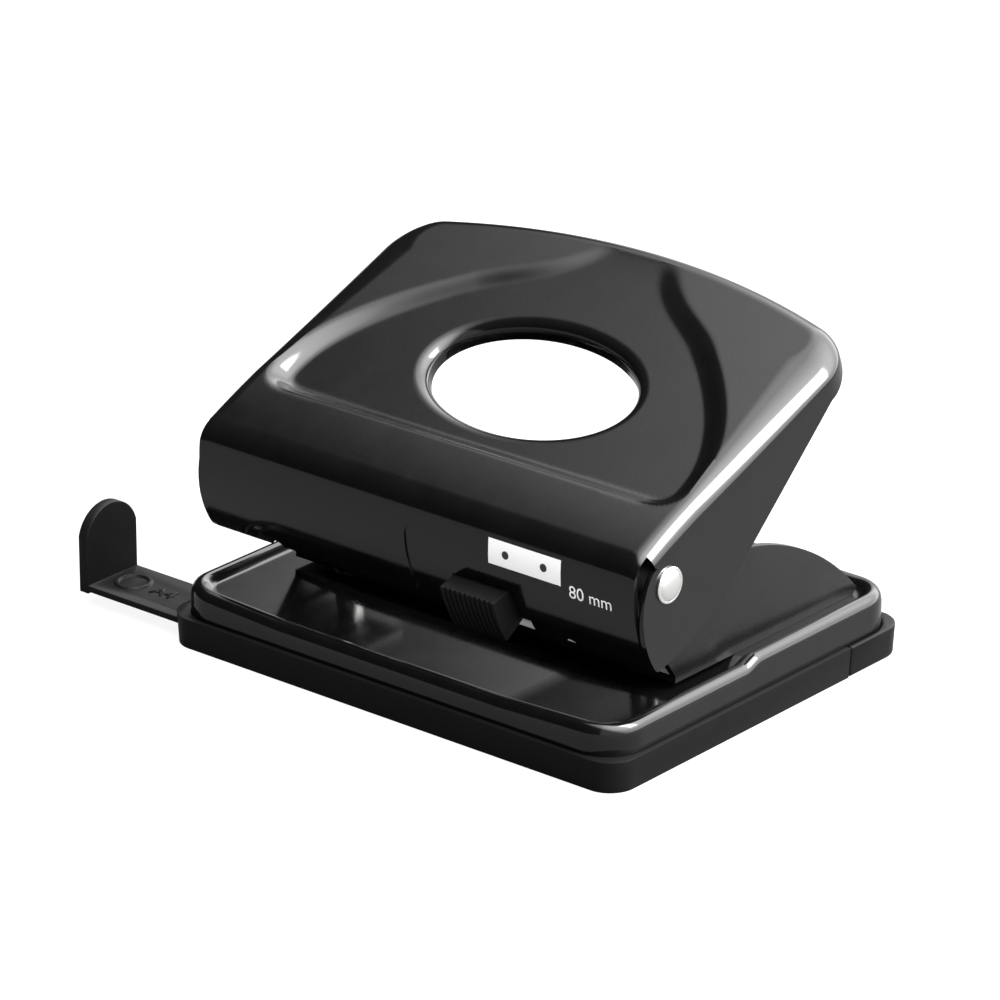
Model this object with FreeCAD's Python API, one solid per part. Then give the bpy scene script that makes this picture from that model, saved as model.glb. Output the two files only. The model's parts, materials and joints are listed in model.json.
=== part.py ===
import FreeCAD, Part
import math
import os

from FreeCAD import Vector

# Two-hole paper punch with a pressed steel lever, a steel base plate and a plastic chip tray.
# Millimetres.  +X is the user's right, +Y points to the back, +Z is up, and the origin is at
# the middle of the face that the punch stands on.

# ---- overall sizes ----------------------------------------------------------------------
BASE_WIDTH = 123.0            # chip tray, left to right
BASE_DEPTH = 98.6             # chip tray, front to back
BASE_CORNER = 6.5             # plan radius of the tray's corners
LEVER_INSET = 1.3             # lever's flange inside the tray's side, were it not shifted
LEVER_SHIFT = 1.4             # middle of the lever and frame, right of the base's middle
SHEET = 1.2                   # pressed steel of the lever and the base plate
FRAME_SHEET = 1.6             # thicker steel of the punch frame and the pin guides

# ---- chip tray --------------------------------------------------------------------------
TRAY_HEIGHT = 6.9
TRAY_FLOOR = 1.4
TRAY_WALL = 1.2               # the thin wall beside the base plate's skirt
TRAY_LEDGE = 2.9              # wall below the skirt, which stands on it
LEDGE_HEIGHT = 5.2
TRAY_DRAFT = 0.4              # how much smaller the tray is at the bottom, each side
HINGE_SETBACK = 19.8          # film hinge, forward of the tray's back edge
SEAM_GAP = 0.4

# ---- base plate -------------------------------------------------------------------------
SKIRT_GAP = 0.1               # between the tray's thin wall and the skirt
TABLE_HEIGHT = 10.6           # top of the paper table
RIM_RISE = 1.8                # bead round the table, above it
RIM_WIDTH = 4.9               # skirt's outside to the edge of the table
RIM_ROUND = 3.5
PLATE_CORNER = 9.5            # plan radius of the skirt's corners
SLOT_HEIGHT = 2.5             # paper slot, which is also the step up to the rear deck
PAPER_STOP_Y = -2.0           # front face of that step

# ---- punching pair ----------------------------------------------------------------------
HOLE_SPACING = 80.0           # centre to centre
HOLE_MARGIN = 12.0            # paper edge to hole centre
PIN_RADIUS = 2.75
PIN_CLEARANCE = 0.05          # radial running fit in the frame, the guides and the die
PIN_RETRACT = 0.3             # pin's tip above the slot's roof
HEAD_RADIUS = 4.5
HEAD_HEIGHT = 2.2
WASHER_RADIUS = 4.4
WASHER_THICK = 0.6
CLIP_RADIUS = 4.2
CLIP_THICK = 0.7
GROOVE_DEPTH = 0.5
TIP_DEPTH = 1.2               # depth of the vee ground across the pin's tip
SPRING_RADIUS = 4.2           # outside of the coil
SPRING_WIRE = 0.8
DIE_THICK = 2.0
DIE_DEPTH = 12.0
DIE_END = 7.0                 # die strip beyond each hole's centre

# ---- punch frame ------------------------------------------------------------------------
EAR_GAP = 7.1                 # between a flange of the lever and the ear beside it
EAR_BOSS = 5.0                # radius round the axle
FRAME_FRONT = 5.6             # frame's floor ahead of the hole centres
FRAME_FLOOR_BACK = 32.0
EAR_BACK_GAP = 1.2            # ear's back end to the rim behind it
EAR_TOE = 1.4                 # small slope that takes off the ear's back corner
EAR_SHOULDER = (3.5, 35.8)    # y, z where the ear's top edge starts to curve
EAR_BROW = (23.5, 28.9)       # y, z on that curve
GUIDE_HEIGHT = 9.7            # frame's floor to the underside of the pin guides
GUIDE_DEPTH = 16.0
GUIDE_TAB = 6.0               # turned-down end of a pin guide
GUIDE_END = 8.0               # pin guide beyond its hole's centre
RIVET_RADIUS = 2.0
RIVET_HEAD = 3.6
RIVET_HEAD_HEIGHT = 1.0
RIVET_X = 27.0
RIVET_Y = (5.0, 26.0)

# ---- lever, laid out level about its axle and then tipped up ------------------------------
PIVOT_Y = -32.8
PIVOT_Z = 41.6
LEVER_ANGLE = 22.24           # slope of the top panel at rest, degrees
LEVER_TRAVEL = 25.0           # degrees from rest to fully pressed
PANEL_RISE = 9.4              # top face above the axle's centre line
BROW_RADIUS = 6.6             # bend from the top panel into the front band
BROW_AHEAD = 1.5              # where that bend starts, ahead of the axle
LIP_RADIUS = 30.0             # long curve of the front band
LIP_REACH = 10.95             # front band ahead of the axle
LIP_DROP = 15.0               # lower edge of the front band below the axle
SLIT = 0.3                    # between the front band's ends and the flanges
CREASE = 3.6                  # bend from the top panel into a flange
PANEL_REACH = 78.7            # back edge behind the axle, on the middle line
BACK_RADIUS = 175.0           # plan curve of the back edge
BACK_CORNER = 11.5
BACK_EDGE = 4.4               # how far the back edge turns down
FLANGE_LOW = (3.0, -16.3)     # lowest part of a flange's edge, along and below the axle
FLANGE_KNEE = (12.4, -15.0)
FLANGE_END = (57.0, 0.9)
RECESS_FRONT = 12.0
RECESS_DEPTH = 3.0            # at its front; the floor runs out to nothing at the back
RECESS_FADE = 70.0            # where the floor meets the panel's face
RECESS_SIDE = ((54.0, 17.0), (48.5, 35.0), (31.0, 55.0), (15.5, 64.0), (8.0, 76.0))
RECESS_CORNER = 5.0
HOLE_HALF_WIDTH = 25.8
HOLE_HALF_DEPTH = 15.3
HOLE_ALONG = 34.7             # its middle, behind the axle
COLLAR_DEPTH = 2.6            # turned-down edge of the hole, below the panel's underside
CENTRE_MARK_WIDTH = 0.6
CENTRE_MARK_DEPTH = 0.3
CENTRE_MARK_ANGLES = (160.0, 190.0)   # on the front band's curve
LIP_NOTCH = 1.6               # half-round notches over the two punch pins

# ---- axle -------------------------------------------------------------------------------
AXLE_RADIUS = 2.5
AXLE_CLEARANCE = 0.05
AXLE_HEAD_RADIUS = 3.9
AXLE_HEAD_HEIGHT = 1.4
AXLE_HEAD_ROUND = 0.9
SPACER_RADIUS = 3.8
SPACER_PLAY = 0.15            # between the spacer and the ear

# ---- press pads under the lever ----------------------------------------------------------
NOSE_RADIUS = 3.0
PAD_WIDTH = 12.0
PAD_LENGTH = 8.0
PAD_GAP = 0.08                # nose to pin head at rest

# ---- lock slide in the front band ---------------------------------------------------------
SLIDE_X = 12.0                # its left end
SLIDE_WIDTH = 14.3
SLIDE_TRAVEL = 4.0
SLIDE_TOP_ANGLE = 173.5       # on the front band's curve, degrees
SLIDE_LOW_ANGLE = 191.3
WINDOW_LOW_ANGLE = 210.0      # runs out below the front band's edge
SLIDE_PROUD = 4.6
SLIDE_CLEAR = 0.3
BACKPLATE_THICK = 1.3
BACKPLATE_MARGIN = 3.0
RIB_COUNT = 11
RIB_DEPTH = 0.35
RIB_GROOVE = 0.4              # share of the ribs' pitch that is cut away

# ---- paper guide --------------------------------------------------------------------------
BLADE_Y = (-45.7, -30.1)
BLADE_TOP = 4.5
BLADE_THICK = 1.4
BLADE_OUT = 87.2              # stop's inner face, left of the middle
BLADE_INNER_END = 25.0
STOP_THICK = 2.6
STOP_SHOULDER = 15.4
STOP_CROWN = 21.5
STOP_BOTTOM = 2.6
RING_X = -81.1
RING_RADIUS = 4.1
RING_WIDTH = 0.9
RING_HEIGHT = 0.5
BLADE_CLEAR = 0.3
RAIL_THICK = 1.2

# ---- worked out from the sizes above ------------------------------------------------------
SKIRT_INSET = TRAY_WALL + SKIRT_GAP
DECK_HEIGHT = TABLE_HEIGHT + SLOT_HEIGHT
FLOOR_TOP = DECK_HEIGHT + FRAME_SHEET
EAR_BACK = BASE_DEPTH / 2 - SKIRT_INSET - RIM_WIDTH - EAR_BACK_GAP
HINGE_Y = BASE_DEPTH / 2 - HINGE_SETBACK
PIN_Y = PAPER_STOP_Y - HOLE_MARGIN
PIN_X = {"left": -HOLE_SPACING / 2, "right": HOLE_SPACING / 2}
PIN_HOLE = PIN_RADIUS + PIN_CLEARANCE
GUIDE_LOW = FLOOR_TOP + GUIDE_HEIGHT
GUIDE_HIGH = GUIDE_LOW + FRAME_SHEET
FLANGE_OUT = BASE_WIDTH / 2 - LEVER_INSET
FLANGE_IN = FLANGE_OUT - SHEET
EAR_HALF = FLANGE_IN - EAR_GAP
EAR_OUT = {"left": LEVER_SHIFT - EAR_HALF, "right": LEVER_SHIFT + EAR_HALF}
EAR_IN = {"left": EAR_OUT["left"] + FRAME_SHEET, "right": EAR_OUT["right"] - FRAME_SHEET}
LEVER_LEFT = LEVER_SHIFT - FLANGE_OUT
LEVER_RIGHT = LEVER_SHIFT + FLANGE_OUT
HALF_TRAVEL = math.radians(LEVER_TRAVEL / 2)
PRESS_ARM = 2 * (PIN_Y - PIVOT_Y) / (1 + math.cos(HALF_TRAVEL))
NOSE_ANGLE = HALF_TRAVEL - math.radians(LEVER_ANGLE)
NOSE = (PRESS_ARM * math.cos(NOSE_ANGLE), PRESS_ARM * math.sin(NOSE_ANGLE))
PIN_TOP = PIVOT_Z + PRESS_ARM * math.sin(HALF_TRAVEL) - NOSE_RADIUS - PAD_GAP
PIN_STROKE = 2 * PRESS_ARM * math.sin(HALF_TRAVEL)
BROW_CENTRE = (-BROW_AHEAD, PANEL_RISE - BROW_RADIUS)
LIP_ALONG = LIP_RADIUS - LIP_REACH
LIP_CENTRE = (LIP_ALONG, BROW_CENTRE[1] - math.sqrt(
    (LIP_RADIUS - BROW_RADIUS) ** 2 - (LIP_ALONG + BROW_AHEAD) ** 2))
FAR = 200.0                   # longer than the whole punch, for cutting blocks
PAST = 1.0                    # cutting blocks run this far past the face that they open


# ---- shape helpers ------------------------------------------------------------------------
def box(x0, x1, y0, y1, z0, z1):
    """Block between two corners."""
    return Part.makeBox(x1 - x0, y1 - y0, z1 - z0, Vector(x0, y0, z0))


def post(radius, x, y, z0, z1):
    """Upright cylinder."""
    return Part.makeCylinder(radius, z1 - z0, Vector(x, y, z0))


def bar(radius, x0, x1, y, z):
    """Cylinder along X."""
    return Part.makeCylinder(radius, x1 - x0, Vector(x0, y, z), Vector(1, 0, 0))


def rounded_wire(x0, x1, y0, y1, radius, z):
    """Rounded rectangle at height z."""
    k = radius * (1 - math.sqrt(0.5))
    corners = ((x1 - radius, y0, x1 - k, y0 + k, x1, y0 + radius),
               (x1, y1 - radius, x1 - k, y1 - k, x1 - radius, y1),
               (x0 + radius, y1, x0 + k, y1 - k, x0, y1 - radius),
               (x0, y0 + radius, x0 + k, y0 + k, x0 + radius, y0))
    edges = []
    for i, (ax, ay, mx, my, bx, by) in enumerate(corners):
        nx, ny = corners[(i + 1) % 4][:2]
        edges.append(Part.Arc(Vector(ax, ay, z), Vector(mx, my, z), Vector(bx, by, z)).toShape())
        edges.append(Part.makeLine(Vector(bx, by, z), Vector(nx, ny, z)))
    return Part.Wire(edges)


def base_wire(inset, z, corner):
    """The base's plan outline drawn in by inset, with a corner radius at no inset."""
    x = BASE_WIDTH / 2 - inset
    y = BASE_DEPTH / 2 - inset
    return rounded_wire(-x, x, -y, y, corner - inset, z)


def plate_block(inset, z0, z1):
    """Block with the base plate's corners, drawn in from the tray's plan outline."""
    outline = base_wire(inset, z0, PLATE_CORNER + SKIRT_INSET)
    return Part.Face(outline).extrude(Vector(0, 0, z1 - z0))


def side_edges(path):
    """Edges in the Y-Z plane from points and (mid, end) pairs, which are arcs."""
    edges = []
    here = path[0]
    for step in path[1:]:
        if isinstance(step[0], tuple):
            mid, end = step
            edges.append(Part.Arc(Vector(0, *here), Vector(0, *mid), Vector(0, *end)).toShape())
        else:
            end = step
            edges.append(Part.makeLine(Vector(0, *here), Vector(0, *end)))
        here = end
    return edges


def side_block(path, x0, x1):
    """Block with a closed outline in the Y-Z plane, from x0 to x1."""
    face = Part.Face(Part.Wire(side_edges(list(path) + [path[0]])))
    face.translate(Vector(x0, 0, 0))
    return face.extrude(Vector(x1 - x0, 0, 0))


def on_circle(centre, radius, degrees):
    """Point on a circle in the Y-Z plane."""
    angle = math.radians(degrees)
    return (centre[0] + radius * math.cos(angle), centre[1] + radius * math.sin(angle))


def oval_block(half_x, half_y, y, z0, z1):
    """Elliptical block, its long axis along X."""
    ellipse = Part.Ellipse(Vector(0, y, z0), half_x, half_y).toShape()
    return Part.Face(Part.Wire(ellipse)).extrude(Vector(0, 0, z1 - z0))


def tip_up(shape):
    """Move a piece from the lever's level layout to its place at rest."""
    placed = shape.copy()
    placed.rotate(Vector(0, 0, 0), Vector(1, 0, 0), LEVER_ANGLE)
    placed.translate(Vector(0, PIVOT_Y, PIVOT_Z))
    return placed


def join(first, *others):
    """Fuse pieces into one solid."""
    return first.fuse(list(others)).removeSplitter()


# ---- base -----------------------------------------------------------------------------------
def tray_shell():
    """Whole plastic bottom, before it is split at the film hinge."""
    outer = Part.makeLoft([base_wire(TRAY_DRAFT, 0, BASE_CORNER),
                           base_wire(0, TRAY_HEIGHT, BASE_CORNER)], True)
    hollow = plate_block(TRAY_LEDGE, TRAY_FLOOR, FAR)
    seat = plate_block(TRAY_WALL, LEDGE_HEIGHT, FAR)
    return outer.cut(hollow).cut(seat)


def guide_rails():
    """Two rails that hold the paper guide, with the bearer that it slides on."""
    x0 = -BASE_WIDTH / 2 + TRAY_LEDGE
    x1 = BASE_WIDTH / 2 - TRAY_LEDGE
    low = TRAY_FLOOR
    bearer = BLADE_TOP - BLADE_THICK - BLADE_CLEAR
    front = BLADE_Y[0] - BLADE_CLEAR
    back = BLADE_Y[1] + BLADE_CLEAR
    rails = [box(x0, x1, back, back + RAIL_THICK, low, BLADE_TOP),
             box(x0, x1, front, front + RAIL_THICK, low, bearer),
             box(x0, x1, back - RAIL_THICK, back, low, bearer)]
    return rails


def chip_tray():
    """Plastic tray that swings down on its film hinge to be emptied."""
    tray = tray_shell().cut(box(-FAR, FAR, HINGE_Y - SEAM_GAP / 2, FAR, -PAST, FAR))
    plan = plate_block(TRAY_LEDGE, TRAY_FLOOR, LEDGE_HEIGHT)
    rails = [rail.common(plan) for rail in guide_rails()]
    passage = box(-FAR, -BASE_WIDTH / 2 + PLATE_CORNER, BLADE_Y[0] - BLADE_CLEAR,
                  BLADE_Y[1] + BLADE_CLEAR, BLADE_TOP - BLADE_THICK - BLADE_CLEAR,
                  BLADE_TOP + RING_HEIGHT + BLADE_CLEAR)
    return join(tray, *rails).cut(passage)


def tray_hinge_band():
    """Back end of the plastic bottom, which stays on the base plate."""
    return tray_shell().cut(box(-FAR, FAR, -FAR, HINGE_Y + SEAM_GAP / 2, -PAST, FAR))


def rounded_plate_block(inset, z0, z1, radius):
    """Plate block with its upper edge rounded."""
    block = plate_block(inset, z0, z1)
    upper = [e for e in block.Edges if min(v.Z for v in e.Vertexes) > z1 - 0.001]
    return block.makeFillet(radius, upper)


def pressed_plate(rise):
    """Base plate with its table at one height."""
    table = TABLE_HEIGHT + rise
    crest = table + RIM_RISE
    outer = rounded_plate_block(SKIRT_INSET, LEDGE_HEIGHT, crest, RIM_ROUND)
    inner = rounded_plate_block(SKIRT_INSET + SHEET, LEDGE_HEIGHT - PAST, crest - SHEET,
                                RIM_ROUND - SHEET)
    edge = SKIRT_INSET + RIM_WIDTH
    pan = plate_block(edge - SHEET, table - SHEET, crest - SHEET / 2)
    return outer.cut(inner).fuse(pan).cut(plate_block(edge, table, FAR))


def base_plate():
    """Steel plate with the paper table in front and the raised deck behind the paper stop."""
    front = pressed_plate(0).common(box(-FAR, FAR, -FAR, PAPER_STOP_Y, 0, FAR))
    back = pressed_plate(SLOT_HEIGHT).common(box(-FAR, FAR, PAPER_STOP_Y, FAR, 0, FAR))
    step = rounded_plate_block(SKIRT_INSET, LEDGE_HEIGHT, DECK_HEIGHT + RIM_RISE, RIM_ROUND)
    step = step.common(box(-FAR, FAR, PAPER_STOP_Y, PAPER_STOP_Y + SHEET,
                           TABLE_HEIGHT - SHEET, FAR))
    step = step.cut(plate_block(SKIRT_INSET + RIM_WIDTH, DECK_HEIGHT, FAR))
    plate = join(front, back, step)
    for x in PIN_X.values():
        plate = plate.cut(post(PIN_HOLE, x, PIN_Y, 0, FAR))
    for x, y in rivet_places():
        plate = plate.cut(post(RIVET_RADIUS, x, y, 0, FAR))
    return plate


def die_plate():
    """Hardened strip under the table that the pins shear against."""
    top = TABLE_HEIGHT - SHEET
    strip = box(PIN_X["left"] - DIE_END, PIN_X["right"] + DIE_END, PIN_Y - DIE_DEPTH / 2,
                PIN_Y + DIE_DEPTH / 2, top - DIE_THICK, top)
    for x in PIN_X.values():
        strip = strip.cut(post(PIN_HOLE, x, PIN_Y, 0, FAR))
    return strip


# ---- punch frame ------------------------------------------------------------------------------
def ear(x0, x1):
    """One side cheek, from the axle down to the deck and back along it."""
    front = PIN_Y - FRAME_FRONT
    to_axle = math.hypot(EAR_SHOULDER[0] - PIVOT_Y, EAR_SHOULDER[1] - PIVOT_Z)
    fall = math.degrees(math.atan2(EAR_SHOULDER[1] - PIVOT_Z, EAR_SHOULDER[0] - PIVOT_Y))
    top_angle = fall + math.degrees(math.acos(EAR_BOSS / to_axle))
    foot = math.hypot(front - PIVOT_Y, FLOOR_TOP - PIVOT_Z)
    down = math.degrees(math.atan2(FLOOR_TOP - PIVOT_Z, front - PIVOT_Y))
    front_angle = down - math.degrees(math.acos(EAR_BOSS / foot))
    pivot = (PIVOT_Y, PIVOT_Z)
    middle = (top_angle + front_angle) / 2 + 180
    outline = (on_circle(pivot, EAR_BOSS, top_angle),
               EAR_SHOULDER,
               (EAR_BROW, (EAR_BACK, DECK_HEIGHT + EAR_TOE)),
               (EAR_BACK - EAR_TOE, DECK_HEIGHT),
               (front, DECK_HEIGHT),
               (front, FLOOR_TOP),
               on_circle(pivot, EAR_BOSS, front_angle),
               (on_circle(pivot, EAR_BOSS, middle), on_circle(pivot, EAR_BOSS, top_angle)))
    face = Part.Face(Part.Wire(side_edges(outline)))
    face.translate(Vector(x0, 0, 0))
    return face.extrude(Vector(x1 - x0, 0, 0))


def rivet_places():
    """Middles of the four rivets."""
    return [(LEVER_SHIFT + x, y) for x in (-RIVET_X, RIVET_X) for y in RIVET_Y]


def punch_frame():
    """U-shaped frame: two ears and the floor that roofs the paper slot."""
    floor = box(EAR_OUT["left"], EAR_OUT["right"], PIN_Y - FRAME_FRONT, FRAME_FLOOR_BACK,
                DECK_HEIGHT, FLOOR_TOP)
    frame = join(floor, ear(EAR_OUT["left"], EAR_IN["left"]),
                 ear(EAR_IN["right"], EAR_OUT["right"]))
    frame = frame.cut(bar(AXLE_RADIUS + AXLE_CLEARANCE, -FAR, FAR, PIVOT_Y, PIVOT_Z))
    for x in PIN_X.values():
        frame = frame.cut(post(PIN_HOLE, x, PIN_Y, 0, GUIDE_LOW))
    for x, y in rivet_places():
        frame = frame.cut(post(RIVET_RADIUS, x, y, 0, GUIDE_LOW))
    return frame


def pin_guide(side):
    """Bracket that guides one pin's upper end, welded to an ear by its turned-down end."""
    y0 = PIN_Y - GUIDE_DEPTH / 2
    y1 = PIN_Y + GUIDE_DEPTH / 2
    wall = EAR_IN[side]
    inward = 1 if side == "left" else -1
    end = PIN_X[side] + inward * GUIDE_END
    fold = wall + inward * FRAME_SHEET
    arm = box(min(wall, end), max(wall, end), y0, y1, GUIDE_LOW, GUIDE_HIGH)
    tab = box(min(wall, fold), max(wall, fold), y0, y1, GUIDE_HIGH - GUIDE_TAB, GUIDE_HIGH)
    return join(arm, tab).cut(post(PIN_HOLE, PIN_X[side], PIN_Y, 0, FAR))


def frame_rivets():
    """Four rivets through the frame's floor and the deck."""
    rivets = []
    under = DECK_HEIGHT - SHEET
    for x, y in rivet_places():
        shank = post(RIVET_RADIUS, x, y, under, FLOOR_TOP)
        head = post(RIVET_HEAD, x, y, FLOOR_TOP, FLOOR_TOP + RIVET_HEAD_HEIGHT)
        upset = post(RIVET_HEAD, x, y, under - RIVET_HEAD_HEIGHT, under)
        head = head.makeFillet(RIVET_HEAD_HEIGHT / 2, [head.Edges[0]])
        rivets.append(join(shank, head, upset))
    return Part.makeCompound(rivets)


# ---- lever --------------------------------------------------------------------------------------
def plan_wire(inset, z, front):
    """The top panel's plan outline from front back, drawn in by inset."""
    half = FLANGE_OUT - inset
    reach = PANEL_REACH - inset
    radius = BACK_RADIUS - inset
    corner = BACK_CORNER - inset
    centre = reach - radius
    offset = half - corner
    corner_y = centre + math.sqrt((radius - corner) ** 2 - offset ** 2)
    tilt = math.atan2(offset, corner_y - centre)
    on_x = offset + corner * math.sin(tilt)
    on_y = corner_y + corner * math.cos(tilt)
    mid = (math.pi / 2 + tilt) / 2
    mid_x = offset + corner * math.sin(mid)
    mid_y = corner_y + corner * math.cos(mid)
    lines = [Part.makeLine(Vector(-half, front, z), Vector(half, front, z)),
             Part.makeLine(Vector(half, front, z), Vector(half, corner_y, z)),
             Part.Arc(Vector(half, corner_y, z), Vector(mid_x, mid_y, z),
                      Vector(on_x, on_y, z)).toShape(),
             Part.Arc(Vector(on_x, on_y, z), Vector(0, reach, z),
                      Vector(-on_x, on_y, z)).toShape(),
             Part.Arc(Vector(-on_x, on_y, z), Vector(-mid_x, mid_y, z),
                      Vector(-half, corner_y, z)).toShape(),
             Part.makeLine(Vector(-half, corner_y, z), Vector(-half, front, z))]
    return Part.Wire(lines)


def plan_block(inset, z0, z1, front, radius):
    """Block under the top panel with its upper edge rounded at the sides and the back."""
    block = Part.Face(plan_wire(inset, z0, front)).extrude(Vector(0, 0, z1 - z0))
    upper = [e for e in block.Edges
             if min(v.Z for v in e.Vertexes) > z1 - 0.001
             and max(v.Y for v in e.Vertexes) > front + 0.001]
    return block.makeFillet(radius, upper)


def lip_points(inset):
    """Start, bend and end of the front band's curve, drawn in by inset."""
    brow = BROW_RADIUS - inset
    lip = LIP_RADIUS - inset
    turn = math.degrees(math.atan2(BROW_CENTRE[1] - LIP_CENTRE[1], BROW_CENTRE[0] - LIP_CENTRE[0]))
    last = 180 + math.degrees(math.asin((LIP_DROP + LIP_CENTRE[1]) / LIP_RADIUS))
    start = (-BROW_AHEAD, PANEL_RISE - inset)
    return (start, on_circle(BROW_CENTRE, brow, (90 + turn) / 2), on_circle(BROW_CENTRE, brow, turn),
            on_circle(LIP_CENTRE, lip, (turn + last) / 2), on_circle(LIP_CENTRE, lip, last))


def front_band():
    """Curved strip in front of the axle, from the top panel down to its lower edge."""
    a0, a1, a2, a3, a4 = lip_points(0)
    b0, b1, b2, b3, b4 = lip_points(SHEET)
    outline = side_edges((a0, (a1, a2), (a3, a4), b4, (b3, b2), (b1, b0), a0))
    face = Part.Face(Part.Wire(outline))
    half = FLANGE_IN - SLIT
    face.translate(Vector(-half, 0, 0))
    return face.extrude(Vector(2 * half, 0, 0))


def lip_notches():
    """Half-round notches in the front band's lower edge, in line with the pins."""
    low = lip_points(0)[4]
    return [Part.makeCylinder(LIP_NOTCH, 4 * SHEET, Vector(x, low[0] - 2 * SHEET, low[1]),
                              Vector(0, 1, 0)) for x in PIN_X.values()]


def lip_sector(r0, r1, first, last, x0, x1):
    """Block that follows the front band's curve between two radii and two angles."""
    middle = (first + last) / 2
    outline = side_edges((on_circle(LIP_CENTRE, r1, first),
                          (on_circle(LIP_CENTRE, r1, middle), on_circle(LIP_CENTRE, r1, last)),
                          on_circle(LIP_CENTRE, r0, last),
                          (on_circle(LIP_CENTRE, r0, middle), on_circle(LIP_CENTRE, r0, first)),
                          on_circle(LIP_CENTRE, r1, first)))
    face = Part.Face(Part.Wire(outline))
    face.translate(Vector(x0, 0, 0))
    return face.extrude(Vector(x1 - x0, 0, 0))


def slide_window():
    """Opening in the front band that the lock slide moves in, open at its lower edge."""
    clear = math.degrees(SLIDE_CLEAR / LIP_RADIUS)
    return lip_sector(LIP_RADIUS - 2 * SHEET, LIP_RADIUS + SHEET, SLIDE_TOP_ANGLE - clear,
                      WINDOW_LOW_ANGLE, SLIDE_X - SLIDE_CLEAR,
                      SLIDE_X + SLIDE_WIDTH + SLIDE_TRAVEL + SLIDE_CLEAR)


def centre_mark():
    """Pressed line that shows the middle of the sheet of paper."""
    return lip_sector(LIP_RADIUS - CENTRE_MARK_DEPTH, LIP_RADIUS + SHEET, *CENTRE_MARK_ANGLES,
                      -CENTRE_MARK_WIDTH / 2, CENTRE_MARK_WIDTH / 2)


def flange_region(x0, x1):
    """Everything above the flanges' lower edge, as a block from x0 to x1."""
    a0, a1, a2, a3, a4 = lip_points(0)
    back_low = PANEL_RISE - BACK_EDGE
    outline = (a0, (a1, a2), (a3, a4), (FLANGE_LOW, FLANGE_KNEE), FLANGE_END,
               (FLANGE_END[0] + SHEET, back_low), (PANEL_REACH + PAST, back_low),
               (PANEL_REACH + PAST, PANEL_RISE))
    return side_block(outline, x0, x1)


def recess_wire(grow, z):
    """Plan outline of the pressed recess, widened by grow."""
    side = [(x + grow, y) for x, y in RECESS_SIDE]
    front = RECESS_FRONT - grow
    k = RECESS_CORNER * (1 - math.sqrt(0.5))
    edges = []
    for s in (1, -1):
        low = Vector(s * (side[0][0] - RECESS_CORNER), front, z)
        bend = Vector(s * (side[0][0] - k), front + k, z)
        points = [Vector(s * x, y, z) for x, y in side]
        edges.append(Part.Arc(low, bend, points[0]).toShape())
        edges.append(Part.Arc(points[0], points[1], points[2]).toShape())
        edges.append(Part.Arc(points[2], points[3], points[4]).toShape())
    edges.append(Part.makeLine(Vector(-side[0][0] + RECESS_CORNER, front, z),
                               Vector(side[0][0] - RECESS_CORNER, front, z)))
    edges.append(Part.makeLine(Vector(-side[4][0], side[4][1], z),
                               Vector(side[4][0], side[4][1], z)))
    return Part.Wire(Part.__sortEdges__(edges))


def recess_floor(along):
    """Height of the recess's floor at a distance behind the axle."""
    share = (RECESS_FADE - along) / (RECESS_FADE - RECESS_FRONT)
    return PANEL_RISE - RECESS_DEPTH * share


def above_floor(drop):
    """Everything over the recess's sloping floor, lowered by drop."""
    front = recess_floor(-FAR) - drop
    back = recess_floor(FAR) - drop
    return side_block(((-FAR, front), (FAR, back), (FAR, FAR), (-FAR, FAR)), -FAR, FAR)


def recess_pocket():
    """Space that the recess takes out of the panel."""
    prism = Part.Face(recess_wire(0, -FAR)).extrude(Vector(0, 0, 2 * FAR))
    return prism.common(above_floor(0))


def recess_pan():
    """Sheet under the recess."""
    under = PANEL_RISE - SHEET / 2
    prism = Part.Face(recess_wire(SHEET, -FAR)).extrude(Vector(0, 0, FAR + under))
    return prism.common(above_floor(SHEET))


def lever_handle():
    """One-piece pressed lever: top panel, front band, flanges, recess and finger hole."""
    low = FLANGE_LOW[1] - CREASE
    front = -BROW_AHEAD
    outer = plan_block(0, low, PANEL_RISE, front, CREASE)
    inner = plan_block(SHEET, low - PAST, PANEL_RISE - SHEET, front - PAST, CREASE - SHEET)
    shell = outer.cut(inner).common(flange_region(-FLANGE_OUT, FLANGE_OUT))
    ahead = box(-FAR, FAR, -FAR, front, -FAR, PANEL_RISE - CREASE / 2)
    lobes = [flange_region(-FLANGE_OUT, -FLANGE_IN).common(ahead),
             flange_region(FLANGE_IN, FLANGE_OUT).common(ahead)]
    underside = PANEL_RISE - SHEET
    collar = oval_block(HOLE_HALF_WIDTH + SHEET, HOLE_HALF_DEPTH + SHEET, HOLE_ALONG,
                        underside - COLLAR_DEPTH, underside)
    lever = join(shell, front_band(), *lobes)
    lever = join(lever, recess_pan(), collar).cut(recess_pocket())
    lever = lever.cut(oval_block(HOLE_HALF_WIDTH, HOLE_HALF_DEPTH, HOLE_ALONG, -FAR, FAR))
    lever.translate(Vector(LEVER_SHIFT, 0, 0))
    lever = lever.cut(bar(AXLE_RADIUS, -FAR, FAR, 0, 0))
    return tip_up(lever.cut([slide_window(), centre_mark()] + lip_notches()))


def press_pad(x):
    """Bracket under the recess whose round nose pushes a pin down."""
    half = PAD_LENGTH / 2
    y0 = NOSE[0] - half
    y1 = NOSE[0] + half
    foot = [(y0, recess_floor(y0) - SHEET), (y1, recess_floor(y1) - SHEET)]
    outline = (foot[0], (y0, foot[0][1] - SHEET), (NOSE[0] - NOSE_RADIUS, foot[0][1] - SHEET),
               (NOSE[0] - NOSE_RADIUS, NOSE[1]),
               ((NOSE[0], NOSE[1] - NOSE_RADIUS), (NOSE[0] + NOSE_RADIUS, NOSE[1])),
               (NOSE[0] + NOSE_RADIUS, foot[1][1] - SHEET), (y1, foot[1][1] - SHEET), foot[1])
    return tip_up(side_block(outline, x - PAD_WIDTH / 2, x + PAD_WIDTH / 2))


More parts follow.
